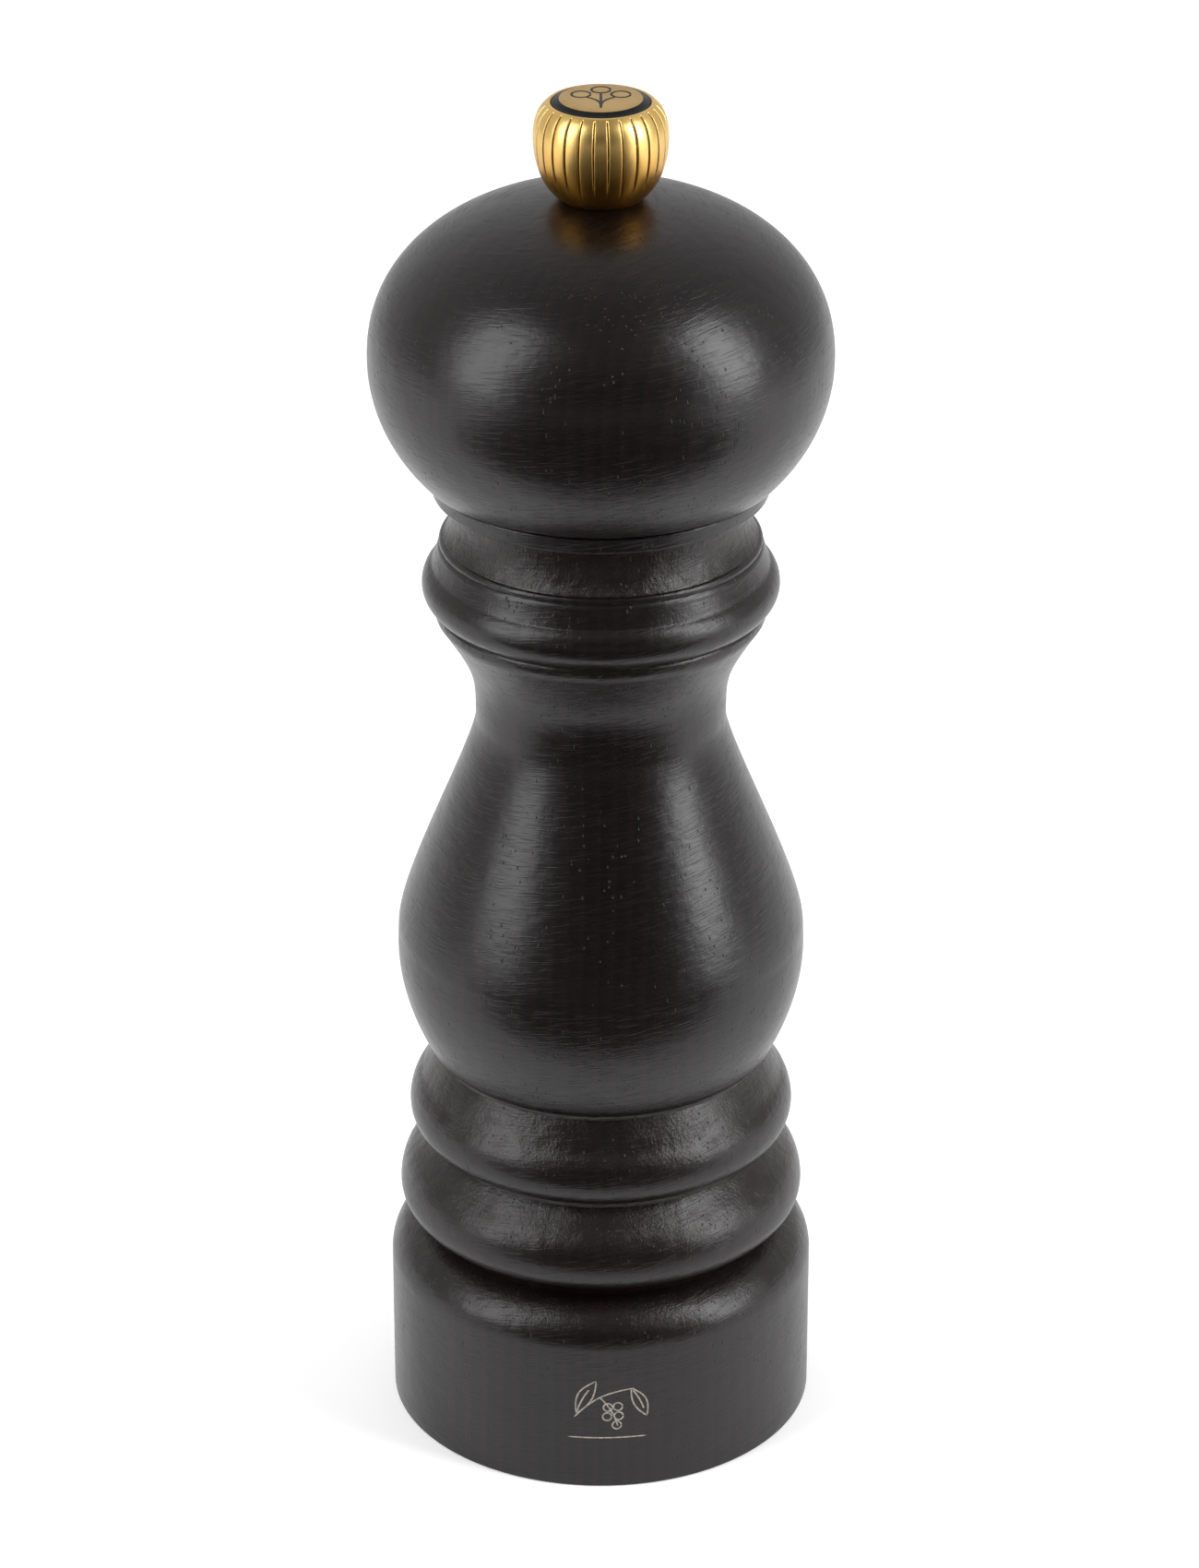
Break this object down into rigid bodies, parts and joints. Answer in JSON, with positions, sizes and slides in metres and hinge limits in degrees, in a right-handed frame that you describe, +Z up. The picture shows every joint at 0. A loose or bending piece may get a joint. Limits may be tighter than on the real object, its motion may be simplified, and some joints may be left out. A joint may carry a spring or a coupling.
{
  "type": "pepper mill",
  "caption": "Turned wooden pepper mill with a ball head that turns a hidden steel grinding set, and a fluted brass knob on top that sets the grind.",
  "frame": {"origin": "centre of the foot, on the table", "axes": "+Z up along the turning axis, -Y towards the front of the mill, +X to the right seen from the front"},
  "size_m": [0.0572, 0.0574, 0.18],
  "materials": {
    "stained_wood": "dark brown-black stain under a thin satin lacquer",
    "brass": "satin brass, lightly brushed",
    "printed_disc": "brass-coloured disc with a printed black border",
    "grinding_steel": "case-hardened dark steel",
    "bright_steel": "zinc-plated bright steel",
    "spring_steel": "drawn spring wire",
    "bush_plastic": "natural nylon"
  },
  "bodies": {
    "mill_body": {"body": "stained_wood", "stator": "grinding_steel", "bridge": "bright_steel", "shaft_bush": "bush_plastic", "retaining_plate": "bright_steel", "retaining_screw_1": "bright_steel", "retaining_screw_2": "bright_steel", "retaining_screw_3": "bright_steel"},
    "drive": {"thrust_washer": "bright_steel", "spring": "spring_steel"},
    "spindle": {"shaft": "bright_steel", "rotor": "grinding_steel", "rotor_washer": "bright_steel", "retaining_clip": "spring_steel"},
    "turning_head": {"head": "stained_wood", "drive_plate": "bright_steel", "drive_screw_1": "bright_steel", "drive_screw_2": "bright_steel", "drive_screw_3": "bright_steel", "seat_washer": "brass"},
    "adjusting_knob": {"knob": "brass", "knob_insert": "brass", "knob_cap": "printed_disc"}
  },
  "joints": [
    {"name": "grind_turn", "type": "hinge", "parent": "mill_body", "child": "drive", "pos_m": [0, 0, 0.0188], "axis": [0, 0, 1], "continuous": true},
    {"name": "grind_gap", "type": "slide", "parent": "drive", "child": "spindle", "axis": [0, 0, -1], "range_m": [0, 0.0012], "deforming": ["spring"]},
    {"name": "head_lift", "type": "slide", "parent": "drive", "child": "turning_head", "axis": [0, 0, 1], "range_m": [0, 0.066]},
    {"name": "knob_turn", "type": "hinge", "parent": "turning_head", "child": "adjusting_knob", "pos_m": [0, 0, 0.168], "axis": [0, 0, 1], "range_deg": [0, 540]}
  ],
  "couplings": [
    {"joint": "knob_turn", "follows": "grind_gap", "rad_per_m": 7854}
  ]
}
